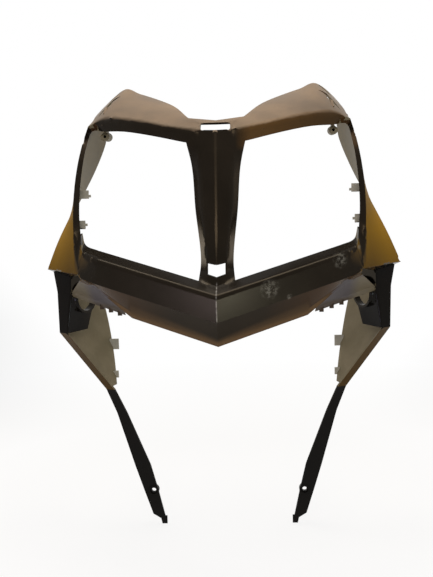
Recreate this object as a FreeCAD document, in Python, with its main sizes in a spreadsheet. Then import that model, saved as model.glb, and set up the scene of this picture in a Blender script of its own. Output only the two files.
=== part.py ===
"""Front fairing panel of a scooter: one moulded shell with two lamp openings.

Frame: millimetres, X to the rider's left, Y to the rear, Z up.  The origin is midway between the
two screw holes at the feet of the legs, on the front face of their seats.
The shell is modelled as one half and mirrored.  Its skin is a quilt of four-sided patches between
feature lines, and each line is drawn through a few hard points that the sheet holds.
"""
import math
import os

import FreeCAD
import Part
from FreeCAD import Vector

os.makedirs("parts", exist_ok=True)
doc = FreeCAD.newDocument("front_panel")
sheet = doc.addObject("Spreadsheet::Sheet", "sizes")

SIZES = {
    "shell": {"wall": 2.5},
    # the chin's apex is the styling datum: all hard points above the legs are measured from it
    "datum": {"apex_ahead": 188.0, "apex_above": 287.0},
    "chin": {
        "bevel_depth": 20.0, "bevel_rise": 8.5, "face_drop": 29.0, "face_tuck": 2.0,
        "skirt_depth": 14.0, "skirt_drop": 22.0, "lip_drop": 7.0, "lip_tuck": 2.0,
        "crest_soft": 5.0},
    "chin at its outer end": {
        "chin_half": 139.0, "chin_sweep": 62.0, "chin_rise": 36.0, "lip_end": 100.0,
        "hem_depth": 8.0, "hem_drop": 6.0},
    "corner": {"corner_half": 164.0, "corner_back": 81.0, "corner_up": 17.0, "corner_face": 26.0,
               "corner_lean": 7.0, "corner_tuck": 2.0, "corner_bevel_depth": 17.0, "corner_bevel_rise": 8.5},
    "rim": {"rim_half": 170.5, "rim_bow": 11.0, "rim_top_up": 190.0, "rim_top_back": 160.0,
            "rim_sag": 13.0, "rim_width_low": 8.0, "rim_width_top": 4.5, "rim_lip_back": 4.0,
            "rim_lip_dip": 6.0, "rim_bevel_depth": 10.0, "rim_bevel_rise": 3.0},
    "cheek": {"tip_half": 222.0, "tip_back": 170.0, "tip_up": 14.0, "tip_thick": 3.0,
              "waist_half": 180.0, "waist_back": 198.0, "waist_up": 106.0,
              "neck_half": 157.0, "neck_back": 236.0, "neck_up": 165.0, "cheek_bulge": 2.0},
    "brow": {"brow_half": 138.0, "brow_back": 78.0, "brow_up": 177.0, "brow_sweep": 67.0,
             "brow_rise": 20.0, "brow_face": 14.5, "brow_tuck": 2.0},
    "hood": {"notch_half": 32.0, "notch_back": 108.0, "notch_up": 193.0,
             "peak_half": 125.0, "peak_back": 238.0, "peak_up": 240.0,
             "shoulder_half": 142.0, "shoulder_back": 241.0, "shoulder_up": 228.0,
             "hood_crown": 3.0, "shoulder_crown": 1.5, "bridge_back": 90.0, "bridge_up": 186.0,
             "bridge_depth": 9.0, "bridge_slope": 3.0, "window_half": 17.0},
    "pillar": {"pillar_head_half": 20.0, "pillar_edge_top": 33.5, "pillar_foot_half": 9.5,
               "pillar_foot_edge": 20.0, "pillar_waist": 3.5, "pillar_cheek": 8.0,
               "pillar_foot_cheek": 5.0, "pillar_depth": 18.0, "pillar_lip": 4.0},
    "foot window": {"foot_window_half": 9.5, "foot_window_up": 20.5, "foot_window_high": 11.5,
                    "foot_window_vee": 3.0, "foot_window_lead": 6.0, "foot_window_run": 30.0},
    "pocket": {"pocket_top_half": 214.0, "pocket_half": 208.0, "pocket_back": 158.0, "pocket_flare": 10.0,
               "pocket_neck_up": -14.0, "ridge_half": 188.0, "ridge_back": 146.0, "ridge_top_up": 6.0,
               "ridge_flare": 4.0, "pocket_rear_half": 164.0, "pocket_rear_back": 192.0,
               "pocket_low_up": -64.0, "pocket_low_half": 175.0, "pocket_low_back": 172.0,
               "roof_in": 5.0},
    "bulb hole": {"bulb_r": 17.0, "bulb_up": -22.0, "bulb_in": 24.0, "bulb_collar": 3.0,
                  "bulb_collar_high": 5.0},
    "leg": {"leg_top_half": 206.0, "leg_top_back": 150.0, "leg_strip_top": 11.5, "leg_strip_lean": 8.0,
            "knee_half": 153.0, "knee_back": 165.0, "knee_up": -142.0, "leg_strip_knee": 11.0,
            "shin_out": 10.0, "shin_ahead": 6.0, "shin_rise": 37.0, "leg_strip_shin": 20.5,
            "leg_strip_seat": 18.5, "foot_in": 10.0, "foot_behind": 5.0, "foot_drop": 35.0,
            "leg_strip_foot": 17.5, "foot_slant": 11.0},
    "leg flank": {"flank_top_half": 166.0, "flank_top_back": 235.0, "flank_top_up": -40.0,
                  "flank_mid_half": 152.0, "flank_mid_back": 214.0, "flank_mid_up": -104.0,
                  "flank_end_in": 8.0, "flank_end_back": 22.0, "flank_fold": 5.0,
                  "leg_hem": 9.0, "leg_hem_in": 3.0},
    "screw seats": {"screw_half": 100.0, "screw_hole_r": 3.0, "screw_head_r": 4.8, "screw_boss_r": 7.0,
                    "seat_inset": 12.5, "seat_sink": 2.5, "seat_stand": 1.0, "seat_thick": 5.0,
                    "foot_nub": 5.0, "foot_nub_wide": 9.0},
    "lamp bosses": {"boss_half": 139.0, "boss_up": 177.0, "boss_r": 5.5, "boss_hole_r": 1.8,
                    "boss_front": 158.0, "boss_long": 24.0, "boss_hole_deep": 16.0, "boss_web": 3.0},
    "hood slots": {"slot_out": 5.7, "slot_long": 42.0, "slot_wide": 9.0, "crest_slot_long": 24.0,
                   "crest_slot_wide": 5.0, "slot_turn": 28.0, "slot_above": 20.0, "slot_below": 20.0},
    "clips": {"clip_reach": 16.0, "clip_high": 10.0, "clip_thick": 2.5, "clip_nub": 3.0, "clip_hook": 2.5,
              "stop_reach": 6.0, "leg_clip_reach": 12.0, "leg_clip_high": 14.0, "leg_stop_reach": 7.0,
              "leg_stop_high": 9.0},
    "web": {"web_in": 6.0, "web_deep": 9.0, "web_up": 6.0, "rail_high": 4.5, "rail_back": 2.0,
            "tooth_high": 6.0, "tooth_long": 5.0},
}
row = 1
for group, sizes in SIZES.items():
    sheet.set("A%d" % row, group)
    row += 1
    for name, value in sizes.items():
        sheet.set("A%d" % row, name.replace("_", " "))
        sheet.set("B%d" % row, str(value))
        sheet.setAlias("B%d" % row, name)
        row += 1
doc.recompute()


class Sizes:
    """The sheet's values by name."""

    def __getattr__(self, name):
        return float(sheet.get(name))


s = Sizes()


def lerp(a, b, share):
    return a + (b - a) * share


def along(points, share):
    """The place at a share of the way along a smooth line through hard points."""
    curve = Part.BSplineCurve()
    curve.interpolate(points)
    return curve.value(lerp(curve.FirstParameter, curve.LastParameter, share))


class Quilt:
    """Four-sided patches that share their curved edges, given one wall thickness inwards."""

    straight = 0.03                         # an edge that bows less than this is drawn straight

    def __init__(self, wall):
        self.wall, self.points, self.number = wall, [], {}
        self.handles, self.cells = {}, []

    def point(self, v):
        key = (round(v.x, 3), round(v.y, 3), round(v.z, 3))
        if key not in self.number:
            self.number[key] = len(self.points)
            self.points.append(v)
        return self.number[key]

    def line(self, chain):
        """A smooth feature line: each span is a cubic with shared tangents."""
        spans = [b - a for a, b in zip(chain, chain[1:])]
        tangents = []
        for i in range(len(chain)):
            before, after = spans[max(i - 1, 0)], spans[min(i, len(spans) - 1)]
            m, n = before.Length, after.Length
            tangents.append((before * (n / m) + after * (m / n)) * (1 / (m + n)))
        for i, span in enumerate(spans):
            a, b = self.point(chain[i]), self.point(chain[i + 1])
            if (a, b) not in self.handles and (b, a) not in self.handles:
                third = span.Length / 3
                self.handles[a, b] = (chain[i] + tangents[i] * third, chain[i + 1] - tangents[i + 1] * third)

    def bend(self, start, corner, end):
        """A rounded edge from one point to another that would meet at a sharp corner."""
        self.handles[self.point(start), self.point(end)] = (
            lerp(start, corner, 2 / 3), lerp(end, corner, 2 / 3))

    def bow(self, start, end, rise):
        """An edge that stands off its chord by a rise at each third of the way."""
        self.handles[self.point(start), self.point(end)] = (
            lerp(start, end, 1 / 3) + rise * 1.5, lerp(start, end, 2 / 3) + rise * 1.5)

    def edge(self, a, b, moves=None):
        """The four poles of an edge on the outer skin or, with the points' moves, on the inner one."""
        p, q = self.points[a], self.points[b]
        if (a, b) in self.handles:
            first, second = self.handles[a, b]
        elif (b, a) in self.handles:
            second, first = self.handles[b, a]
        else:
            first, second = lerp(p, q, 1 / 3), lerp(p, q, 2 / 3)
        bow = max(first.distanceToPoint(lerp(p, q, 1 / 3)), second.distanceToPoint(lerp(p, q, 2 / 3)))
        if bow < self.straight:
            first, second = lerp(p, q, 1 / 3), lerp(p, q, 2 / 3)
        if not moves:
            return [p, first, second, q]
        start, end = p + moves[a], q + moves[b]
        size = start.distanceToPoint(end) / p.distanceToPoint(q)
        return [start, lerp(start, end, 1 / 3) + (first - lerp(p, q, 1 / 3)) * size,
                lerp(start, end, 2 / 3) + (second - lerp(p, q, 2 / 3)) * size, end]

    def patch(self, *corners):
        self.cells.append([self.point(v) for v in corners])

    def strip(self, *rows, smooth=True):
        """Patches between neighbouring rows that have the same stations."""
        if smooth:
            for r in rows:
                self.line(r)
        for upper, lower in zip(rows, rows[1:]):
            for i in range(len(upper) - 1):
                self.patch(upper[i], upper[i + 1], lower[i + 1], lower[i])

    def face_all_out(self):
        """Turn the patches so that neighbours run opposite ways along the edge they share."""
        users = {}
        for k, cell in enumerate(self.cells):
            for a, b in zip(cell, cell[1:] + cell[:1]):
                users.setdefault(frozenset((a, b)), []).append(k)
        done, queue = {0}, [0]
        while queue:
            cell = self.cells[queue.pop()]
            for a, b in zip(cell, cell[1:] + cell[:1]):
                for k in users[frozenset((a, b))]:
                    if k not in done:
                        other = self.cells[k]
                        if (a, b) in zip(other, other[1:] + other[:1]):
                            other.reverse()
                        done.add(k)
                        queue.append(k)
        if len(done) != len(self.cells) or max(len(u) for u in users.values()) > 2:
            raise RuntimeError("the patches do not form one skin")
        return [e for e, u in users.items() if len(u) == 1]

    def corner_normal(self, cell, i):
        here, after, before = cell[i], cell[(i + 1) % 4], cell[i - 1]
        a, b = self.edge(here, after), self.edge(here, before)
        n = (a[1] - a[0]).cross(b[1] - b[0])
        return n.normalize()

    def offsets(self):
        """How far each point moves to the inner skin, so that each wall there keeps its thickness."""
        normals = [[] for _ in self.points]
        for cell in self.cells:
            for i, k in enumerate(cell):
                normals[k].append(self.corner_normal(cell, i))
        moves = []
        for p, ns in zip(self.points, normals):
            move = Vector()
            for _ in range(60):
                for n in ns:
                    move -= n * (self.wall + n.dot(move))
                if abs(p.x) < 1e-6:
                    move.x = 0
            if move.Length > 2.2 * self.wall:
                move *= 2.2 * self.wall / move.Length
            moves.append(move)
        return moves

    def face(self, low, high, left, right):
        """A patch from its four edges, cubic only along the ways in which an edge bows."""
        def steps(*edges):
            bowed = [e[k].distanceToPoint(lerp(e[0], e[3], k / 3)) > 1e-6 for e in edges for k in (1, 2)]
            return 3 if any(bowed) else 1

        across, along_side = steps(low, high), steps(left, right)
        normal = (low[3] - low[0]).cross(high[0] - low[0]).normalize()
        if across == along_side == 1 and abs(normal.dot(high[3] - low[0])) < 1e-6:
            return Part.Face(Part.makePolygon([low[0], low[3], high[3], high[0], low[0]]))
        surface = Part.BezierSurface()
        surface.increase(across, along_side)
        for i in range(across + 1):
            for j in range(along_side + 1):
                u, v = i / across, j / along_side
                m, n = 3 * i // across, 3 * j // along_side
                flat = lerp(lerp(low[0], low[3], u), lerp(high[0], high[3], u), v)
                surface.setPole(i + 1, j + 1, lerp(low[m], high[m], v) + lerp(left[n], right[n], u) - flat)
        return surface.toShape()

    def solid(self):
        rims = self.face_all_out()
        moves = self.offsets()
        faces = []
        for a, b, c, d in self.cells:
            for skin_moves in (None, moves):
                faces.append(self.face(self.edge(a, b, skin_moves), self.edge(d, c, skin_moves),
                                       self.edge(a, d, skin_moves), self.edge(b, c, skin_moves)))
        for rim in rims:
            a, b = sorted(rim)
            outer, inner = self.edge(a, b), self.edge(a, b, moves)
            ends = [[lerp(p, q, k / 3) for k in range(4)] for p, q in zip(outer, inner)]
            faces.append(self.face(outer, inner, ends[0], ends[3]))
        shell = Part.makeShell(faces)
        shell.sewShape()
        solid = Part.makeSolid(shell)
        if solid.Volume < 0:
            solid.reverse()
        return solid


# Feature lines of the half panel, from the chin's apex.
# Chin: a swept V with a bevel into the lamp opening, a front face, a tucked skirt and a lip.
def chin(share):
    crest = Vector(s.chin_half, s.chin_sweep, s.chin_rise) * share
    ret = crest + Vector(0, s.bevel_depth, s.bevel_rise)
    low = crest + Vector(0, s.face_tuck, -s.face_drop)
    return ret, crest, low


chin_x = [0, s.pillar_foot_half, s.pillar_foot_edge, (s.pillar_foot_edge + s.lip_end) / 2, s.lip_end,
          s.chin_half]
chin_ret, chin_crest, chin_low = map(list, zip(*[chin(x / s.chin_half) for x in chin_x]))
corner_low = Vector(s.corner_half, s.corner_back, s.corner_up)
corner_crest = corner_low + Vector(-s.corner_lean, -s.corner_tuck, s.corner_face)
corner_ret = corner_crest + Vector(0, s.corner_bevel_depth, s.corner_bevel_rise)
skirt = [p + Vector(0, s.skirt_depth, -s.skirt_drop) for p in chin_low[:-1]]
lip = [p + Vector(0, s.lip_tuck, -s.lip_drop) for p in skirt]
for p in (chin_low[-1], corner_low):
    skirt.append(p + Vector(0, s.hem_depth, -s.hem_drop))
    lip.append(skirt[-1] + Vector(0, s.lip_tuck, -s.hem_drop / 2))

# Rim: a narrow front strip that leans back beside the lamp opening, from the corner to the brow.
rim_top = Vector(s.rim_half - s.rim_bow, s.rim_top_back, s.rim_top_up)
rim_mid = lerp(corner_low, rim_top, 0.5)
rim_mid.x, rim_mid.y = s.rim_half, rim_mid.y - s.rim_sag
rim_shares = [0.17, 0.34, 0.5, 0.68, 0.84, 1.0]
rim = [along([corner_low, rim_mid, rim_top], share) for share in rim_shares]
rim_lip = []
for share, p in zip(rim_shares, rim):
    rise = s.corner_face * max(0, 1 - share / 0.4) ** 1.5
    rim_lip.append(p + Vector(-lerp(s.rim_width_low, s.rim_width_top, share), s.rim_lip_back, rise))
rim_lip[-1] = rim_lip[-1] + Vector(0, 0, -s.rim_lip_dip)
rim_ret = rim_lip[0] + Vector(0, s.rim_bevel_depth, s.rim_bevel_rise)

# Brow and hood: a shallow front face over the opening, then the hood rising to its rear edge.
brow, brow_lip, hood_rear = [], [], []
for i in range(1, 6):
    share = i / 5
    p = Vector(s.brow_half * share, s.brow_back + s.brow_sweep * share ** 1.75,
               s.brow_up + s.brow_rise * math.sin(math.pi / 2 * share) ** 2)
    brow.append(p)
    brow_lip.append(p + Vector(0, s.brow_tuck, -s.brow_face))
    part = ((i - 1) / 4) ** 0.65
    hood_rear.append(Vector(lerp(s.notch_half, s.peak_half, (i - 1) / 4),
                            lerp(s.notch_back, s.peak_back, part), lerp(s.notch_up, s.peak_up, part)))
brow_lip[0].x = s.pillar_edge_top
brow_mid = Vector(0, s.brow_back - s.brow_tuck, s.brow_up)
brow_head = Vector(s.window_half, lerp(brow_mid.y, brow[0].y, 0.9), lerp(s.brow_up, brow[0].z, 0.4))
brow_lip_mid = Vector(0, s.brow_back - s.pillar_cheek, s.brow_up - s.brow_face - s.pillar_lip)
brow_lip_head = Vector(s.pillar_head_half, s.brow_back, s.brow_up - s.brow_face)

# Cheek: the side wall from the rim back to its rear edge, flared at the tip and drawn in above.
tip = Vector(s.tip_half, s.tip_back, s.tip_up)
waist = Vector(s.waist_half, s.waist_back, s.waist_up)
neck = Vector(s.neck_half, s.neck_back, s.neck_up)
shoulder = Vector(s.shoulder_half, s.shoulder_back, s.shoulder_up)
cheek_rear = [along([tip, waist, neck, shoulder], share) for share in (0.15, 0.3, 0.43, 0.6, 0.75, 1.0)]

front = brow + rim[::-1] + [corner_low]
rear = hood_rear + cheek_rear[::-1] + [tip]
deepest = hood_rear[-1].distanceToPoint(brow[-1])
crown = [Vector(0, 0, s.hood_crown * a.distanceToPoint(b) / deepest) for a, b in zip(brow, hood_rear)]
crown += [Vector(0.3, 0, 0.95) * s.shoulder_crown] + [Vector(s.cheek_bulge, 0, 0)] * 5 + [Vector()]
upper = [lerp(a, b, 1 / 3) + c for a, b, c in zip(front, rear, crown)]
lower = [lerp(a, b, 2 / 3) + c for a, b, c in zip(front, rear, crown)]

# Leg: a front strip down to the foot, and a folded flank behind it that runs out below the knee.
leg_top = Vector(s.leg_top_half, s.leg_top_back, s.pocket_low_up)
knee = Vector(s.knee_half, s.knee_back, s.knee_up)
seat = Vector(s.screw_half, s.apex_ahead, -s.apex_above)
seat_edge = seat + Vector(s.seat_inset, -s.seat_stand, 0)
shin = seat_edge + Vector(s.shin_out, -s.shin_ahead, s.shin_rise)
foot = seat_edge + Vector(-s.foot_in, s.foot_behind, -s.foot_drop)
calf = along([leg_top, knee, shin, foot], 0.46)
leg_outer = [leg_top, lerp(leg_top, knee, 0.5), knee, calf, shin, seat_edge, foot]
widths = [s.leg_strip_top, (s.leg_strip_top + s.leg_strip_knee) / 2, s.leg_strip_knee,
          lerp(s.leg_strip_knee, s.leg_strip_shin, 0.2), s.leg_strip_shin, s.leg_strip_seat, s.leg_strip_foot]
leans = [max(0, 1 - i / 4) * s.leg_strip_lean for i in range(7)]
leg_inner = [p + Vector(-width, -lean, 0) for p, width, lean in zip(leg_outer, widths, leans)]
leg_inner[-1].z -= s.foot_slant

# Indicator pocket below the cheek: a floor, a ridge, and a wall that runs back with the bulb hole.
floor = [Vector(s.pocket_top_half, s.pocket_back + s.pocket_flare, s.tip_up - s.tip_thick),
         Vector(s.pocket_half, s.pocket_back, s.pocket_neck_up)]
ridge = [Vector(s.ridge_half, s.ridge_back + s.ridge_flare, s.ridge_top_up),
         Vector(s.ridge_half, s.ridge_back, s.pocket_neck_up)]
pocket_rear = [Vector(s.pocket_rear_half, s.pocket_rear_back, z) for z in (s.ridge_top_up, s.pocket_neck_up)]
pocket_foot = Vector(s.pocket_low_half, s.pocket_low_back, s.pocket_low_up)
floor.append(lerp(floor[1], leg_top, 0.5))
ridge.append(lerp(ridge[1], leg_inner[0], 0.5))
pocket_rear += [lerp(pocket_rear[1], pocket_foot, 0.5), pocket_foot]

flank_top = Vector(s.flank_top_half, s.flank_top_back, s.flank_top_up)
flank_mid = Vector(s.flank_mid_half, s.flank_mid_back, s.flank_mid_up)
flank_end = knee + Vector(-s.flank_end_in, s.flank_end_back, 0)
flank = [along([flank_top, flank_mid, flank_end], i / 4) for i in range(5)]
flank_front = floor[1:] + leg_outer
fold = [lerp(a, b, 0.45) + Vector(s.flank_fold * (1 - i / 4), 0, 0)
        for i, (a, b) in enumerate(zip(flank_front, flank))]
fold += [p + Vector(-s.leg_hem_in, s.leg_hem, 0) for p in leg_outer[3:]]

# The skin of the half panel.
skin = Quilt(s.wall)
soft_front = [p + (q - p).normalize() * s.crest_soft for p, q in zip(chin_crest, chin_low)]
sharp_crest = [rim_lip[0], corner_crest] + chin_crest[::-1]
soft_ret = [p + (q - p).normalize() * s.crest_soft * share for p, q, share in
            zip(sharp_crest, [rim_ret, corner_ret] + chin_ret[::-1], [0.4, 0.6] + [1] * len(chin_ret))]
all_crest = [brow_lip_mid, brow_lip_head] + brow_lip + rim_lip[::-1] + [corner_crest] + soft_front[::-1]
all_front = [brow_mid, brow_head] + front + chin_low[::-1]
all_ret = [rim_ret, corner_ret] + chin_ret[::-1]
straight_lines = [soft_front, chin_low, chin_ret, soft_ret[2:], skirt[:5], lip[:5], skirt[4:6], lip[4:6]]
for chain in straight_lines + [all_front[:2], all_front[1:8], all_front[7:], all_crest[:2]]:
    skin.line(chain)
skin.strip(all_crest, all_front)
skin.strip(all_ret, soft_ret)
skin.strip(soft_ret, all_crest[-len(all_ret):])
for a, sharp, b in zip(soft_ret[2:], chin_crest[::-1], soft_front[::-1]):
    skin.bend(a, sharp, b)
skin.strip(front, rear)
for a, b, rise in zip(front, rear, crown):
    skin.bow(a, b, rise)
skin.strip(chin_low + [corner_low], skirt, lip)

# Pillar between the openings: a ridge, two front faces and two side faces.
pillar_edge, pillar_crease, pillar_ridge = [chin_ret[2]], [chin_ret[1]], [chin_ret[0]]
for share in (0.13, 0.55, 0.9):
    p = lerp(chin_ret[0], brow_lip_mid, share)
    pillar_ridge.append(p)
    pillar_crease.append(p + Vector(lerp(s.pillar_foot_half, s.pillar_head_half, share),
                                    lerp(s.pillar_foot_cheek, s.pillar_cheek, share), 0))
    pillar_edge.append(p + Vector(lerp(s.pillar_foot_edge, s.pillar_edge_top, share) - s.pillar_waist,
                                  s.pillar_depth, 0))
pillar_edge.append(brow_lip[0])
pillar_crease.append(brow_lip_head)
pillar_ridge.append(brow_lip_mid)
skin.strip(pillar_edge, pillar_crease, pillar_ridge)

# Bridge across the notch, over the window above the pillar.
bridge_front = Vector(0, s.bridge_back, s.bridge_up)
bridge_end = bridge_front + Vector(s.window_half, 0, 0)
bridge_rear = bridge_front + Vector(0, s.bridge_depth, s.bridge_slope)
skin.patch(bridge_front, bridge_end, rear[0], bridge_rear)
skin.patch(brow_head, brow[0], rear[0], bridge_end)

# Pocket and leg, with corners where the pocket's outline turns.
skin.line(flank)
skin.strip(ridge + leg_inner[:1], floor + leg_outer[:1], smooth=False)
skin.strip(leg_inner, leg_outer, smooth=False)
skin.strip(ridge + leg_inner[:1], pocket_rear, smooth=False)
skin.strip(flank_front, fold, smooth=False)
skin.strip(fold[:5], flank, smooth=False)
roof_front = lerp(corner_low, pocket_rear[0], 0.45) + Vector(-s.roof_in, 0, 0)
skin.patch(corner_low, tip, floor[0], ridge[0])
skin.patch(corner_low, ridge[0], pocket_rear[0], roof_front)

half = doc.addObject("Part::Feature", "skin_half")
half.Shape = skin.solid()


def cylinder(name, radius, length, base, axis):
    """A round boss or bore from its base, with its sizes bound to the sheet."""
    o = doc.addObject("Part::Cylinder", name)
    o.setExpression("Radius", "sizes." + radius)
    o.setExpression("Height", "sizes." + length)
    o.Placement = FreeCAD.Placement(base, FreeCAD.Rotation(Vector(0, 0, 1), axis))
    return o


def tab(name, reach, thick, high, seat):
    """A flat tab that reaches inwards from its seat in the wall."""
    o = doc.addObject("Part::Box", name)
    o.setExpression("Length", "sizes." + reach)
    o.setExpression("Width", "sizes." + thick)
    o.setExpression("Height", "sizes." + high)
    o.Placement.Base = seat + Vector(-getattr(s, reach), -getattr(s, thick) / 2, -getattr(s, high) / 2)
    return o


def prism(name, outline, run):
    """A prism from a closed outline of corner points."""
    wire = doc.addObject("Part::Feature", name + "_outline")
    wire.Shape = Part.makePolygon(outline + outline[:1])
    o = doc.addObject("Part::Extrusion", name)
    o.Base, o.DirMode, o.Dir, o.LengthFwd, o.Solid = wire, "Custom", run, run.Length, True
    return o


def join(kind, name, base, tools):
    """The base with a group of tools fused to it or cut from it."""
    group = doc.addObject("Part::MultiFuse", name + "_tools")
    group.Shapes, group.Refine = tools, False
    o = doc.addObject("Part::" + kind, name)
    o.Base, o.Tool, o.Refine = base, group, False
    return o


added, cuts = [], []
ahead, behind = Vector(0, -1, 0), Vector(0, 1, 0)

# Screw seats at the feet: a boss through the strip, a sunk seat for the head and a clear hole.
added.append(cylinder("screw_boss", "screw_boss_r", "seat_thick", seat + ahead * s.seat_sink, behind))
added[-1].setExpression("Height", "sizes.seat_thick + sizes.seat_sink")
cuts.append(cylinder("screw_head_sink", "screw_head_r", "seat_sink", seat, ahead))
cuts[-1].setExpression("Height", "sizes.seat_sink + 1")
cuts.append(cylinder("screw_hole", "screw_hole_r", "seat_thick", seat + ahead, behind))
cuts[-1].setExpression("Height", "sizes.seat_thick + 2")
toe = lerp(leg_inner[-1], leg_outer[-1], 0.2)
nub_half, nub_root = s.foot_nub_wide / 2, s.foot_slant / 2
added.append(prism("foot_nub", [toe + Vector(-nub_half, 0, nub_root), toe + Vector(nub_half, 0, nub_root),
                                toe + Vector(nub_half / 2, 0, -s.foot_nub),
                                toe + Vector(-nub_half, 0, -s.foot_nub)], behind * s.wall))

# Lamp bosses behind the outer ends of the brows, each hung from the hood by a web.
boss = Vector(s.boss_half, s.boss_front, s.boss_up)
added.append(cylinder("lamp_boss", "boss_r", "boss_long", boss, behind))
cuts.append(cylinder("lamp_boss_hole", "boss_hole_r", "boss_hole_deep", boss + ahead, behind))
cuts[-1].setExpression("Height", "sizes.boss_hole_deep + 1")
under = Vector(-s.boss_web / 2, 0, -s.wall * 0.6)
roof = [lerp(brow[-1], upper[4], 0.55) + under, upper[4] + under, lerp(upper[4], lower[4], 0.2) + under]
web_low = [Vector(roof[-1].x, boss.y + s.boss_long - 1, boss.z), Vector(roof[0].x, boss.y + 2, boss.z)]
for p in roof + web_low:
    p.x = boss.x - s.boss_web / 2
added.append(prism("lamp_boss_web", roof + web_low, Vector(s.boss_web, 0, 0)))

# Two slots in the hood beside the shoulder: a pointed one, and a straight one at the crest.
turn = FreeCAD.Rotation(Vector(0, 0, 1), s.slot_turn)
long, wide = s.slot_long / 2, s.slot_wide / 2
arrow = [(wide * 0.9, long), (-wide, long * 0.75), (-wide, long * 0.1), (-wide * 0.4, -long),
         (wide * 0.6, -long * 0.35), (wide, long * 0.1), (wide * 0.2, long * 0.3)]
through = Vector(0, 0, s.slot_above + s.slot_below)
middle = lerp(upper[4], lower[4], 0.32) + Vector(s.slot_out, 0, -s.slot_below)
cuts.append(prism("hood_slot", [middle + turn.multVec(Vector(-x, y, 0)) for x, y in arrow], through))
long, wide = s.crest_slot_long / 2, s.crest_slot_wide / 2
crest = [lerp(lower[i], rear[i], 0.45) for i in (4, 5)]
middle = lerp(crest[0], crest[1], 0.37) + Vector(0, 0, -s.slot_below)
bar = [(wide, long), (-wide, long), (-wide, -long), (wide, -long)]
cuts.append(prism("crest_slot", [middle + turn.multVec(Vector(x, y, 0)) for x, y in bar], through))

# Chevron window at the pillar's foot.
low_z, high_z = s.foot_window_up, s.foot_window_up + s.foot_window_high
vee = Vector(0, 0, -s.foot_window_vee)
half_w, lead = s.foot_window_half, s.bevel_depth - s.foot_window_lead
cuts.append(prism("foot_window", [Vector(-1, lead, low_z) + vee, Vector(half_w, lead, low_z),
                                  Vector(half_w, lead, high_z), Vector(-1, lead, high_z) + vee * 0.6],
                  behind * s.foot_window_run))

# Bulb hole through the pocket's rear wall, with a collar on the lamp's side.
across = (pocket_rear[1] - ridge[1]).normalize()
out = Vector(across.y, -across.x, 0)
bulb = ridge[1] + across * s.bulb_in
bulb.z = s.bulb_up
added.append(cylinder("bulb_collar", "bulb_r", "bulb_collar_high", bulb - out * s.bulb_collar_high, out))
added[-1].setExpression("Radius", "sizes.bulb_r + sizes.bulb_collar")
added[-1].setExpression("Height", "sizes.bulb_collar_high + sizes.wall / 2")
cuts.append(cylinder("bulb_hole", "bulb_r", "bulb_collar_high", bulb - out * s.bulb_collar_high * 2, out))
cuts[-1].setExpression("Height", "sizes.bulb_collar_high * 4")

# Lamp clips on the inner face of the side wall.
inwards = Vector(-s.wall / 2, 0, 0)
clip_a = lerp(front[8], upper[8], 0.8) + inwards
clip_b = lerp(lerp(front[9], front[10], 0.25), lerp(upper[9], upper[10], 0.25), 0.6) + inwards
added.append(tab("clip_high_tab", "clip_reach", "clip_thick", "clip_high", clip_a))
hook = Vector(-s.clip_hook, 0, 0)
added.append(tab("clip_high_nub", "clip_reach", "clip_thick", "clip_nub",
                 clip_a + hook - Vector(0, 0, s.clip_high / 5)))
added.append(tab("clip_low_tab", "clip_reach", "clip_thick", "clip_high", clip_b))
added.append(tab("clip_low_nub", "clip_reach", "clip_thick", "clip_nub", clip_b + hook))
clip_mid = lerp(clip_a, clip_b, 0.5) - inwards / 2
added.append(tab("stop_tab", "stop_reach", "clip_thick", "clip_high", clip_mid))

# Clips on the rear edge of the leg's flank.
leg_clip = lerp(flank[2], leg_outer[0], 0.03)
added.append(tab("leg_clip", "leg_clip_reach", "clip_thick", "leg_clip_high", leg_clip))
leg_stop = lerp(lerp(flank[3], flank[4], 0.5), leg_outer[1], 0.04)
added.append(tab("leg_stop", "leg_stop_reach", "clip_thick", "leg_stop_high", leg_stop))

# Web: a flat plate from the chin's hem back to the pocket, with a rail and snap teeth under it.
hem = [lerp(skirt[i], lip[i], 0.5) + behind * (s.wall / 2) for i in (4, 5, 6)]
web_far = ridge[1] + across * s.wall + out * (s.wall / 2)
web_normal = (hem[2] - hem[0]).cross(web_far - hem[0]).normalize()
web_near = hem[0] + Vector(s.web_in, s.web_deep, s.web_up)
web_outline = [p - web_normal * web_normal.dot(p - hem[0]) for p in hem + [web_far, web_near]]
added.append(prism("web", web_outline, web_normal * s.wall))
far, near = web_outline[3:]
drop = Vector(0, s.rail_back, -s.rail_high)
inset = (far - near).cross(web_normal).normalize() * s.wall
added.append(prism("web_rail", [near + inset, far + inset, far + drop, near + drop], behind * s.wall))
for i, share in enumerate((0.1, 0.26, 0.42)):
    root = lerp(near, far, share) + drop + Vector(s.tooth_long / 2, s.wall / 2, 0)
    added.append(tab("tooth_%d" % i, "tooth_long", "clip_thick", "tooth_high", root))

body = join("Cut", "half_panel", join("Fuse", "half_full", half, added), cuts)
other = doc.addObject("Part::Mirroring", "other_half")
other.Source, other.Base, other.Normal = body, Vector(), Vector(1, 0, 0)
whole = doc.addObject("Part::Fuse", "whole")
whole.Base, whole.Tool, whole.Refine = body, other, False
doc.recompute()
panel = doc.addObject("Part::Feature", "front_panel")
panel.Shape = whole.Shape.translated(Vector(0, -s.apex_ahead, s.apex_above))

for o in doc.Objects:
    if "Invalid" in o.State or "Error" in o.State:
        raise RuntimeError("%s: %s" % (o.Name, o.State))
    if hasattr(o, "Shape") and not o.Shape.isNull() and not o.Shape.isValid():
        raise RuntimeError("%s is not a valid shape" % o.Name)
if len(panel.Shape.Solids) != 1:
    raise RuntimeError("the panel is not one piece: %d" % len(panel.Shape.Solids))
panel.Shape.exportStep("parts/front_panel.step")
print(panel.Shape.Volume, panel.Shape.BoundBox)
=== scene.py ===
"""Front fairing panel of a scooter: its moulded shell, its finishes and the studio it stands in."""
import math

import bmesh
import bpy
from mathutils import Matrix, Vector, kdtree


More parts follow.
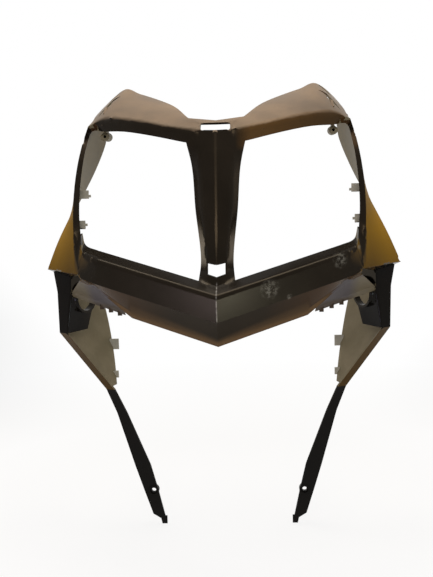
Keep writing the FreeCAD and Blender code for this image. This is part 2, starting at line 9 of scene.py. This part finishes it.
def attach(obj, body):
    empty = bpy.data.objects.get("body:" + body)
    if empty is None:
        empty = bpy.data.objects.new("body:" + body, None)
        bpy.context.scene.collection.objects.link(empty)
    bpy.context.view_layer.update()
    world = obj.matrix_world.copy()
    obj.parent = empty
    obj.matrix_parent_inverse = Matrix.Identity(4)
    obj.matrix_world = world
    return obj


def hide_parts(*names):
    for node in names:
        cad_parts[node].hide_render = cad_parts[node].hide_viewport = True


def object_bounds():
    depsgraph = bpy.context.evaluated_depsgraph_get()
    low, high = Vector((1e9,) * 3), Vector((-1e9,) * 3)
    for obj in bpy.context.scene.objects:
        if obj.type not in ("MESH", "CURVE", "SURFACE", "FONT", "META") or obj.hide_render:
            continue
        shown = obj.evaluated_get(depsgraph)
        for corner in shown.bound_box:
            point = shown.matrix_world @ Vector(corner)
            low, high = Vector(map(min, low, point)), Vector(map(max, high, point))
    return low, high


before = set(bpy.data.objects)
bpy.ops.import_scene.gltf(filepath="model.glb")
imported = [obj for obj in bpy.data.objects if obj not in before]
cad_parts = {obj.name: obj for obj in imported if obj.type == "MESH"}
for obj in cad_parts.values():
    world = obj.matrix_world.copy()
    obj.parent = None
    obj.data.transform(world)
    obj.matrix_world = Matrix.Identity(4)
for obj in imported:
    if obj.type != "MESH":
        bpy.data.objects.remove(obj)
cad_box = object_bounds()
scene = bpy.context.scene
scene.view_settings.view_transform = "Standard"


# Moulded shell
# The panel is one injection moulding in plastic, with its bosses, clips, webs and pockets in one piece.
# The mould leaves its edges slightly rounded. The outside is painted a satin dark bronze, and the inside, the
# pockets and the lower legs stay as they come from the mould.
MM = 0.001
shell_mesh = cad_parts["front_panel"].data.copy()
shell_mesh.name = "moulded_shell"
facet_normals = shell_mesh.attributes.get("custom_normal")
if facet_normals:
    shell_mesh.attributes.remove(facet_normals)
shell_mesh.materials.clear()
moulding = bmesh.new()
moulding.from_mesh(shell_mesh)
bmesh.ops.remove_doubles(moulding, verts=moulding.verts, dist=0.02 * MM)
bmesh.ops.dissolve_degenerate(moulding, edges=moulding.edges, dist=0.01 * MM)

# The creases of the painted front are drawn soft, most of all along the brows.
heart = Vector((0, 100, 250)) * MM         # a place in the hollow behind the panel
flattest_soft_turn, sharpest_soft_turn = math.radians(13), math.radians(78)
looks_down = -0.3                          # an upward part of a normal below this
brow_softness, front_softness = 6 * MM, 3 * MM
finest_cut, longest_cut = 1.5 * MM, 2.4 * MM
cutting_turns, smoothing_turns = 7, 24


def looks_out(face):
    """Whether a face is on the outside of the panel."""
    return face.normal.dot(face.calc_center_median() - heart) > 0


def middle(edge):
    return (edge.verts[0].co + edge.verts[1].co) / 2


def soft_radius(edge):
    """How far a crease is drawn soft, or nothing where it stays crisp."""
    if not flattest_soft_turn < edge.calc_face_angle(0) < sharpest_soft_turn:
        return 0
    if any(not looks_out(face) or face.normal.z < looks_down for face in edge.link_faces):
        return 0
    place = middle(edge)
    side = abs(place.x)
    under_chin = place.z < 262 * MM
    on_ridge = side < 4 * MM
    pillar_foot = side < 14 * MM and place.z < 326 * MM
    top_window = side < 19 * MM and place.z > 468 * MM
    hood_end = side > 110 * MM and place.z > 488 * MM or place.y > 5 * MM
    if under_chin or on_ridge or pillar_foot or top_window or hood_end:
        return 0
    on_brow = place.z > 425 * MM and side > 24 * MM
    return brow_softness if on_brow else front_softness


def soften(mesh):
    """Cuts the mesh finer beside the soft creases, draws it smooth there and returns what it has drawn."""
    marks = []
    for edge in mesh.edges:
        radius = soft_radius(edge)
        if radius:
            first, last = edge.verts[0].co.copy(), edge.verts[1].co.copy()
            count = max(1, math.ceil((last - first).length / finest_cut))
            marks += [(first.lerp(last, i / count), radius) for i in range(count + 1)]
    creases = kdtree.KDTree(len(marks))
    for i, (place, radius) in enumerate(marks):
        creases.insert(place, i)
    creases.balance()

    def share(place):
        """One on a crease, none at its radius and beyond."""
        nearest, i, gap = creases.find(place)
        return max(0.0, 1 - gap / marks[i][1])

    for turn in range(cutting_turns):
        coarse = [e for e in mesh.edges if e.calc_length() > longest_cut
                  and any(share(place) > 0 for place in (e.verts[0].co, e.verts[1].co, middle(e)))]
        if not coarse:
            break
        bmesh.ops.subdivide_edges(mesh, edges=coarse, cuts=1)
        bmesh.ops.triangulate(mesh, faces=[f for f in mesh.faces if len(f.verts) > 3])
    weights = {v: min(1.0, 2 * share(v.co)) for v in mesh.verts
               if all(f.normal.dot(v.co - heart) > 0 for f in v.link_faces)}
    drawn = [(v, weight, [e.other_vert(v) for e in v.link_edges])
             for v, weight in weights.items() if weight > 0]
    for turn in range(smoothing_turns):
        places = [v.co.lerp(sum((o.co for o in others), Vector()) / len(others), 0.5 * weight)
                  for v, weight, others in drawn]
        for (v, weight, others), place in zip(drawn, places):
            v.co = place
    mesh.normal_update()
    return {v for v, weight, others in drawn}


softened = soften(moulding)

# The pillar's ridge and the upright ridges in the pockets are rolled over evenly.
ridge_zone = (-0.3, 0.3), (-math.inf, -60), (310, 470)     # x, y and z in millimetres, as in all zones
pocket_ridge_zone = (180, 196), (-52, -28), (222, 296)
ridge_width, ridge_facets = 2.6 * MM, 4
pocket_ridge_width, pocket_ridge_facets = 3 * MM, 5
pocket_ridge_turn = math.radians(30)
upright = 0.8                              # the least share of an upright edge's length that is height


def inside(place, zone):
    """Whether a place lies in a zone."""
    return all(low * MM < value < high * MM for value, (low, high) in zip(place, zone))


def on_half(place):
    """The place or its mirror image, whichever is on the +X half."""
    return Vector((abs(place.x), place.y, place.z))


def roll_over(mesh, edges, width, facets):
    bmesh.ops.bevel(mesh, geom=edges, offset=width, offset_type="OFFSET", segments=facets, profile=0.5,
                    affect="EDGES", clamp_overlap=False)
    mesh.normal_update()


pillar_ridge = [e for e in moulding.edges if e.calc_face_angle(0) > flattest_soft_turn
                and all(inside(v.co, ridge_zone) for v in e.verts)
                and all(f.normal.y < -0.5 for f in e.link_faces)]
roll_over(moulding, pillar_ridge, ridge_width, ridge_facets)
pocket_ridges = [e for e in moulding.edges if e.calc_face_angle(0) > pocket_ridge_turn
                 and all(inside(on_half(v.co), pocket_ridge_zone) for v in e.verts)
                 and abs(e.verts[0].co.z - e.verts[1].co.z) > upright * e.calc_length()
                 and all(f.normal.y < -0.3 for f in e.link_faces)]
roll_over(moulding, pocket_ridges, pocket_ridge_width, pocket_ridge_facets)

# All other edges stay crisp, with the small rounding that the mould gives.
flattest_crisp_turn = math.radians(21)
mould_radius, mould_facets = 0.7 * MM, 2
rounded = moulding.edges.layers.float.new("bevel_weight_edge")
for edge in moulding.edges:
    if edge.calc_face_angle(0) > flattest_crisp_turn and not softened.issuperset(edge.verts):
        edge.smooth, edge[rounded] = False, 1.0

# A face's finish follows from its place, taken on the +X half, and the way it looks.
PAINTED, BARE, POCKET, BLACK, WEB, CLIP = range(6)
any_depth = (-math.inf, math.inf)
web_zone = (103, 188), (-119, -36), (244, 292)
pocket_zone = (150, 217), (-60, 12), (222, 304)
lamp_clip_zone = (150, 168), (-90, math.inf), (338, 425)
leg_clip_zone = (125, 166), any_depth, (140, 205)
jamb_zone = (150, 172), any_depth, (338, 475)
boss_zone = (130, 147), (-34, math.inf), (455, 480)
leg_top = 146 * MM
web_corner = Vector((100, -121, 258)) * MM
web_facing = Vector((-0.573, 0.541, 0.615))
web_skin, rail_reach = 3.2 * MM, 9 * MM    # how far the web's plate and rail stand off its middle plane
rail_top, rail_end = 262 * MM, 176 * MM
flank_lean = 0.24                          # the flank below the pocket looks up by more than this
square = 0.9995                            # the plain tabs of the clips stand square
brow_rim_y, brow_rim_z = -46 * MM, 448 * MM
rim_slope, rim_depth = 0.53, 9 * MM        # the lamp opening's rim comes forward as it goes down


def finish_of(face):
    c, n = face.calc_center_median(), face.normal.copy()
    if c.x < 0:
        c.x, n.x = -c.x, -n.x
    off_web = abs(web_facing.dot(c - web_corner))
    on_plate = off_web < web_skin and abs(n.dot(web_facing)) > 0.9
    on_rail = off_web < rail_reach and c.z < rail_top and c.x < rail_end
    if inside(c, web_zone) and (on_plate or on_rail):
        return WEB
    in_recess = n.y < -0.25 or n.x < -0.3 or n.z < -0.5
    if inside(c, pocket_zone) and in_recess and n.z < flank_lean:
        return POCKET
    is_clip = inside(c, lamp_clip_zone) or inside(c, leg_clip_zone)
    if is_clip and max(abs(v) for v in n) > square:
        return CLIP
    rim_y = brow_rim_y - rim_slope * (brow_rim_z - c.z)
    if inside(c, jamb_zone) and (n.y < -0.35 or c.y < rim_y + rim_depth):
        return PAINTED
    if inside(c, boss_zone):
        return BARE
    if c.z < leg_top:
        return BLACK
    return PAINTED if looks_out(face) else BARE


for face in moulding.faces:
    face.material_index = finish_of(face)
    face.smooth = face.material_index != WEB           # the web's plate is flat
moulding.to_mesh(shell_mesh)
moulding.free()
shell = bpy.data.objects.new("moulded_shell", shell_mesh)
scene.collection.objects.link(shell)
rounding = shell.modifiers.new("mould_rounding", "BEVEL")
rounding.width, rounding.segments = mould_radius, mould_facets
rounding.limit_method, rounding.harden_normals = "WEIGHT", True
rounding.use_clamp_overlap = True


def new_material(name, **constants):
    """A material with its shader, and the values that are the same all over it."""
    material = bpy.data.materials.new(name)
    material.use_nodes = True
    shader = material.node_tree.nodes["Principled BSDF"]
    for socket, value in constants.items():
        shader.inputs[socket.replace("_", " ")].default_value = value
    return material, material.node_tree, shader


def feed(tree, socket, value):
    """Links a socket to another node's output, or sets it to a plain value."""
    if isinstance(value, bpy.types.NodeSocket):
        tree.links.new(value, socket)
    else:
        socket.default_value = value


def node(tree, kind, **settings):
    """A node with its properties, and with its inputs where a setting starts with in."""
    made = tree.nodes.new(kind)
    for key, value in settings.items():
        if key.startswith("in_"):
            feed(tree, made.inputs[key[3:].replace("_", " ")], value)
        else:
            setattr(made, key, value)
    return made


def blend(tree, share, first, second):
    """A colour between two, by a mask."""
    mix = node(tree, "ShaderNodeMix", data_type="RGBA")
    for socket, value in ((mix.inputs["Factor"], share), (mix.inputs[6], first), (mix.inputs[7], second)):
        feed(tree, socket, value)
    return mix.outputs[2]


def spread(tree, value, low, high, to_low=0.0, to_high=1.0):
    """A value moved from one range to another, held at its ends."""
    ranged = node(tree, "ShaderNodeMapRange", in_Value=value, in_From_Min=low, in_From_Max=high,
                  in_To_Min=to_low, in_To_Max=to_high)
    return ranged.outputs["Result"]


def combine(tree, operation, first, second=0.0):
    """The outcome of a sum on one or two values."""
    made = node(tree, "ShaderNodeMath", operation=operation)
    feed(tree, made.inputs[0], first)
    feed(tree, made.inputs[1], second)
    return made.outputs[0]


def overlap(tree, mask, *others):
    """A mask that is full only where all of some masks are."""
    for other in others:
        mask = combine(tree, "MULTIPLY", mask, other)
    return mask


def components(tree, vector):
    """The x, y and z of a vector."""
    return node(tree, "ShaderNodeSeparateXYZ", in_Vector=vector).outputs


# A moulding's grain: cloudy tone, and a fine texture that the mould leaves.
grain_bump = 0.1 * MM
usual_tone = (0.3, 0.7)                    # most of the cloudy tone lies between these
grain = bpy.data.node_groups.new("moulded_grain", "ShaderNodeTree")
for socket, value in (("Cloud Scale", 14.0), ("Grain Scale", 900.0)):
    added = grain.interface.new_socket(socket, in_out="INPUT", socket_type="NodeSocketFloat")
    added.default_value = value
for socket in ("Tone", "Height"):
    grain.interface.new_socket(socket, in_out="OUTPUT", socket_type="NodeSocketFloat")
grain_in, grain_out = grain.nodes.new("NodeGroupInput"), grain.nodes.new("NodeGroupOutput")
grain_place = grain.nodes.new("ShaderNodeTexCoord").outputs["Object"]
for source, target, detail in (("Cloud Scale", "Tone", 5.0), ("Grain Scale", "Height", 2.0)):
    noise = node(grain, "ShaderNodeTexNoise", in_Vector=grain_place, in_Scale=grain_in.outputs[source],
                 in_Detail=detail, in_Roughness=0.6)
    feed(grain, grain_out.inputs[target], noise.outputs["Fac"])


def with_grain(tree, shader, cloud, fine, depth):
    """Puts the grain group in a material, with its fine texture as a bump."""
    group = node(tree, "ShaderNodeGroup", node_tree=grain)
    group.inputs["Cloud Scale"].default_value = cloud
    group.inputs["Grain Scale"].default_value = fine
    bump = node(tree, "ShaderNodeBump", in_Strength=depth, in_Distance=grain_bump,
                in_Height=group.outputs["Height"])
    feed(tree, shader.inputs["Normal"], bump.outputs["Normal"])
    return group.outputs["Tone"]


# Satin dark bronze paint: dust lies on the hood, with a painted reflection on it, and handling has left pale
# smudges on the chin. Painted bounce light and reflections turn it brown under the chin, on its lip, on the
# leg strips and the right brow, and gold-brown on the cheeks; the apex edge has rubbed wear and a painted
# highlight.
paint_deep, paint_worn = (0.0055, 0.0042, 0.0034, 1), (0.0100, 0.0076, 0.0058, 1)
underside_painted_bounce, lip_painted_bounce = (0.034, 0.0165, 0.0075, 1), (0.085, 0.050, 0.024, 1)
strip_painted_reflection, brow_painted_light = (0.042, 0.021, 0.003, 1), (0.075, 0.039, 0.013, 1)
cheek_painted_gold, cheek_painted_brown = (0.225, 0.116, 0.003, 1), (0.066, 0.037, 0.008, 1)
dust_and_reflection_tint, smudge_colour = (0.34, 0.245, 0.165, 1), (0.30, 0.29, 0.25, 1)
edge_wear_and_highlight = (0.38, 0.36, 0.34, 1)
chin_slope = 0.36                          # how fast the chin's lower edge climbs from the middle
smudges = (                                # centre and radius in millimetres, and strength
    ((57.4, -161.9, 290.5), 13, 0.45),
    ((137.5, -127, 316.5), 11, 0.4),
    ((79.2, -151.8, 279.7), 4, 0.4),
    ((160, -105.8, 328.6), 4, 0.4),
)
paint, tree, shader = new_material("satin_bronze_paint", Metallic=0.0, Specular_IOR_Level=0.15, IOR=1.5,
                                   Specular_Tint=(1.0, 0.80, 0.52, 1), Sheen_Weight=0.04,
                                   Sheen_Roughness=0.35, Sheen_Tint=(1.0, 0.66, 0.12, 1))
tone = with_grain(tree, shader, cloud=16.0, fine=700.0, depth=0.08)
coords = tree.nodes.new("ShaderNodeTexCoord").outputs["Object"]
x, y, z = components(tree, coords)
side = combine(tree, "ABSOLUTE", x)
normal = tree.nodes.new("ShaderNodeNewGeometry").outputs["Normal"]
normal_x, normal_y, normal_z = components(tree, normal)
colour = blend(tree, spread(tree, tone, 0.35, 0.7), paint_deep, paint_worn)

# Painted bounce light from below: down-facing faces of the chin turn brown towards its ends.
beneath = spread(tree, normal_z, -0.30, -0.42)
outwards = spread(tree, side, 50 * MM, 125 * MM, 0.05, 1.0)
colour = blend(tree, overlap(tree, beneath, outwards), colour, underside_painted_bounce)

# Painted bounce light: the chin's lower lip, just above its edge, turns a lighter brown.
above_edge = combine(tree, "SUBTRACT", z, combine(tree, "MULTIPLY", side, chin_slope))
on_lip = overlap(tree, spread(tree, above_edge, 239 * MM, 234 * MM), spread(tree, normal_z, -0.13, -0.2),
                 combine(tree, "SUBTRACT", 1.0, beneath))
colour = blend(tree, on_lip, colour, lip_painted_bounce)

# Painted reflection of warm light: the legs' forward-facing strips above the knee turn brown.
on_strip = overlap(tree, spread(tree, z, 226 * MM, 221 * MM), spread(tree, side, 112 * MM, 118 * MM),
                   spread(tree, normal_y, -0.58, -0.68))
colour = blend(tree, on_strip, colour, strip_painted_reflection)

# Painted light on one side: the right brow's front turns warm brown, the left one stays dark.
on_right_brow = overlap(tree, spread(tree, z, 440 * MM, 446 * MM), spread(tree, x, 22 * MM, 40 * MM),
                        spread(tree, x, 170 * MM, 60 * MM, 0.35, 1.0), spread(tree, normal_y, -0.45, -0.6))
colour = blend(tree, on_right_brow, colour, brow_painted_light)

# Painted reflection of warm side light: the cheeks' outward faces turn gold-brown, brightest up and back.
looks_aside = combine(tree, "MULTIPLY", normal_x, combine(tree, "SIGN", x))
on_cheek = overlap(tree, spread(tree, looks_aside, 0.60, 0.82), spread(tree, side, 140 * MM, 160 * MM),
                   spread(tree, z, 286 * MM, 296 * MM), spread(tree, z, 445 * MM, 360 * MM))
up_and_back = combine(tree, "ADD", spread(tree, z, 300 * MM, 345 * MM, 0.0, 0.6),
                      spread(tree, y, -85 * MM, -40 * MM, 0.0, 0.4))
colour = blend(tree, on_cheek, colour, blend(tree, up_and_back, cheek_painted_brown, cheek_painted_gold))

# Dust and a painted reflection of the light above: the hood's upward faces turn tan.
dust_and_reflection_mask = overlap(tree, spread(tree, normal_z, 0.35, 0.95), spread(tree, z, 425 * MM, 450 * MM),
               spread(tree, tone, *usual_tone, 0.44, 0.8))
colour = blend(tree, dust_and_reflection_mask, colour, dust_and_reflection_tint)

specks = node(tree, "ShaderNodeTexNoise", in_Vector=coords, in_Scale=260.0, in_Detail=6.0,
              in_Roughness=0.75).outputs["Fac"]
patchy = spread(tree, specks, 0.46, 0.62)
smudge = 0.0
for centre, radius, strength in smudges:
    away = node(tree, "ShaderNodeVectorMath", operation="DISTANCE", in_Vector=coords)
    away.inputs[1].default_value = Vector(centre) * MM
    near = spread(tree, away.outputs["Value"], radius * MM, 0.25 * radius * MM, 0.0, strength)
    smudge = combine(tree, "MAXIMUM", overlap(tree, near, patchy), smudge)
colour = blend(tree, smudge, colour, smudge_colour)

# Rubbed wear and a painted highlight: a pale patchy line runs down the chin's apex edge.
on_apex = overlap(tree, spread(tree, side, 0.9 * MM, 0.3 * MM), spread(tree, z, 300 * MM, 296 * MM),
                  spread(tree, z, 256 * MM, 262 * MM), spread(tree, specks, 0.40, 0.60, 0.1, 0.6))
feed(tree, shader.inputs["Base Color"], blend(tree, on_apex, colour, edge_wear_and_highlight))
roughness = spread(tree, tone, *usual_tone, 0.21, 0.26)
for mask, duller in ((dust_and_reflection_mask, 0.35), (smudge, 0.4), (on_cheek, 0.70)):
    roughness = combine(tree, "ADD", combine(tree, "MULTIPLY", mask, duller), roughness)
feed(tree, shader.inputs["Roughness"], roughness)


def moulded_finish(name, gloss, grain_values, deep, pale, roughness, tone_ends=(0.0, 1.0)):
    """A finish as it comes from the mould: its colour and roughness follow the cloudy tone."""
    material, tree, shader = new_material(name, Specular_IOR_Level=gloss)
    tone = with_grain(tree, shader, *grain_values)
    feed(tree, shader.inputs["Base Color"], blend(tree, spread(tree, tone, *tone_ends), deep, pale))
    feed(tree, shader.inputs["Roughness"], spread(tree, tone, *usual_tone, *roughness))
    return material


# Bare grey-brown moulding on the inside, clips in a paler copy of it for painted light, gloss black in the
# indicator pockets and plain black on the lower legs. Each has its gloss, grain, two colours and range of
# roughness.
bare = moulded_finish("bare_moulding", 0.15, (22.0, 500.0, 0.15), (0.118, 0.101, 0.062, 1),
                      (0.172, 0.146, 0.094, 1), (0.46, 0.58), tone_ends=(0.35, 0.68))
# The clips are the bare moulding drawn paler, as painted light where they face the lamps.
clip = moulded_finish("clip_painted_light", 0.3, (40.0, 500.0, 0.1), (0.26, 0.25, 0.20, 1),
                      (0.42, 0.40, 0.34, 1), (0.4, 0.5))
pocket = moulded_finish("gloss_black_pocket", 0.1, (30.0, 300.0, 0.04), (0.003, 0.0022, 0.0016, 1),
                        (0.006, 0.0045, 0.003, 1), (0.10, 0.18))
leg_black = moulded_finish("plain_black_leg", 0.08, (24.0, 600.0, 0.08), (0.003, 0.0025, 0.002, 1),
                           (0.006, 0.005, 0.004, 1), (0.42, 0.52))

# Grey-brown webs tie the chin to the pockets: brown along the rail, with painted reflections in lilac-grey
# above and tan at the outer end.
web_brown, web_lilac_reflection = (0.042, 0.028, 0.017, 1), (0.062, 0.054, 0.057, 1)
web_tan_reflection = (0.105, 0.086, 0.054, 1)
web, tree, shader = new_material("web_with_painted_reflections", Specular_IOR_Level=0.15)
tone = with_grain(tree, shader, cloud=26.0, fine=500.0, depth=0.06)
x, y, z = components(tree, tree.nodes.new("ShaderNodeTexCoord").outputs["Object"])
colour = blend(tree, spread(tree, z, 265 * MM, 269 * MM), web_brown, web_lilac_reflection)
outer_end = spread(tree, combine(tree, "ABSOLUTE", x), 150 * MM, 164 * MM)
feed(tree, shader.inputs["Base Color"], blend(tree, outer_end, colour, web_tan_reflection))
feed(tree, shader.inputs["Roughness"], spread(tree, tone, *usual_tone, 0.36, 0.44))

for finish in (paint, bare, pocket, leg_black, web, clip):
    shell_mesh.materials.append(finish)
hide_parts("front_panel")
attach(shell, "root")


# Studio
# A wide pale floor lies just under the feet, and the surroundings are white behind the panel and pale grey
# elsewhere. Soft lamps hang above, in front and behind at both sides, and two small ones light the chin.
floor_gap, floor_half = 0.4 * MM, 40.0
floor_z = cad_box[0].z - floor_gap
floor_mesh = bpy.data.meshes.new("studio_floor")
corners = [(x * floor_half, y * floor_half, floor_z) for x, y in ((-1, -1), (1, -1), (1, 1), (-1, 1))]
floor_mesh.from_pydata(corners, [], [(0, 1, 2, 3)])
floor = bpy.data.objects.new("studio_floor", floor_mesh)
scene.collection.objects.link(floor)


def seen_directly(tree):
    """One where a ray comes from the camera, a reflection or through glass."""
    path = tree.nodes.new("ShaderNodeLightPath").outputs
    seen = combine(tree, "MAXIMUM", path["Is Camera Ray"], path["Is Glossy Ray"])
    return combine(tree, "MAXIMUM", seen, path["Is Transmission Ray"])


def white_side(tree, direction):
    """How white the surroundings look towards a direction: most so behind the panel."""
    ahead = node(tree, "ShaderNodeVectorMath", operation="NORMALIZE", in_Vector=direction)
    behind = node(tree, "ShaderNodeVectorMath", operation="DOT_PRODUCT", in_Vector=ahead.outputs["Vector"])
    behind.inputs[1].default_value = (0, 1, 0)
    return spread(tree, behind.outputs["Value"], 0.74, 0.93, 0.60, 1.0)


def mix_shaders(tree, share, first, second, end):
    """Ends a tree with two shaders, mixed by a mask."""
    both = node(tree, "ShaderNodeMixShader", in_Fac=share)
    feed(tree, both.inputs[1], first)
    feed(tree, both.inputs[2], second)
    feed(tree, tree.nodes[end].inputs["Surface"], both.outputs["Shader"])


floor_paint, tree, shader = new_material("pale_floor", Base_Color=(0.85, 0.85, 0.85, 1), Roughness=0.9,
                                         Specular_IOR_Level=0.0)
place = tree.nodes.new("ShaderNodeTexCoord").outputs["Object"]
away = node(tree, "ShaderNodeVectorMath", operation="LENGTH", in_Vector=place).outputs["Value"]
far = spread(tree, away, 0.5, 1.8)
whiteness = combine(tree, "ADD", combine(tree, "SUBTRACT", 1.0, far),
                    combine(tree, "MULTIPLY", far, white_side(tree, place)))
white = node(tree, "ShaderNodeEmission", in_Color=(1, 1, 1, 1), in_Strength=whiteness)
outside_shadow = spread(tree, away, 0.35, 1.0, 0.82, 1.0)
mix_shaders(tree, overlap(tree, seen_directly(tree), outside_shadow), shader.outputs["BSDF"],
            white.outputs["Emission"], "Material Output")
floor_mesh.materials.append(floor_paint)

room_colour, room_light = (1.0, 0.97, 0.93, 1), 0.45
world = bpy.data.worlds.new("pale_studio")
world.use_nodes = True
scene.world = world
tree = world.node_tree
lit = tree.nodes["Background"]
lit.inputs["Color"].default_value, lit.inputs["Strength"].default_value = room_colour, room_light
direction = tree.nodes.new("ShaderNodeTexCoord").outputs["Generated"]
around = node(tree, "ShaderNodeBackground", in_Color=(1, 1, 1, 1), in_Strength=white_side(tree, direction))
mix_shaders(tree, seen_directly(tree), lit.outputs["Background"], around.outputs["Background"],
            "World Output")

target = Vector((-5.5, -68, 279)) * MM     # the middle of the picture


def softbox(name, place, size, power, colour):
    """A soft lamp that looks at the panel."""
    data = bpy.data.lights.new(name, "AREA")
    data.shape, data.size, data.size_y = "RECTANGLE", size[0], size[1]
    data.energy, data.color = power, colour
    lamp = bpy.data.objects.new(name, data)
    lamp.location = place
    lamp.rotation_euler = (target - Vector(place)).to_track_quat("-Z", "Y").to_euler()
    lamp.visible_camera = False
    scene.collection.objects.link(lamp)


softbox("top_softbox", (0.0, -0.05, 1.90), (1.4, 0.6), 18.0, (1.0, 0.94, 0.86))
softbox("front_softbox", (0.0, -1.7, 1.25), (1.0, 0.3), 9.0, (1.0, 0.90, 0.82))
softbox("left_chin_lamp", (-0.71, -0.76, 0.09), (0.10, 0.14), 0.85, (0.71, 0.685, 1.0))
softbox("right_chin_lamp", (0.66, -0.82, 0.09), (0.13, 0.14), 1.0, (0.81, 0.93, 1.0))
softbox("left_side_softbox", (-1.2, 1.05, 0.40), (1.3, 1.0), 4.0, (1.0, 0.78, 0.50))
softbox("right_side_softbox", (1.37, 0.85, 0.40), (1.3, 1.0), 4.0, (1.0, 0.78, 0.50))


# Camera
# It stands a metre in front of the panel, a little above its middle, and leans slightly.
# Its lens gives the photograph's frame.
picture_long_side, focal_pixels = 577, 833.0
azimuth, elevation, lean, distance = math.radians(3.0), math.radians(8.0), math.radians(1.6), 1.0
camera_data = bpy.data.cameras.new("front_camera")
camera_data.sensor_width = 36.0
camera_data.lens = focal_pixels * camera_data.sensor_width / picture_long_side
camera = bpy.data.objects.new("front_camera", camera_data)
back = Vector((math.sin(azimuth) * math.cos(elevation), -math.cos(azimuth) * math.cos(elevation),
               math.sin(elevation)))
level = Vector((0, 0, 1)).cross(back).normalized()
plumb = back.cross(level)
right = level * math.cos(lean) - plumb * math.sin(lean)
up = level * math.sin(lean) + plumb * math.cos(lean)
camera.matrix_world = Matrix((right, up, back)).transposed().to_4x4()
camera.location = target + back * distance
scene.collection.objects.link(camera)
scene.camera = camera
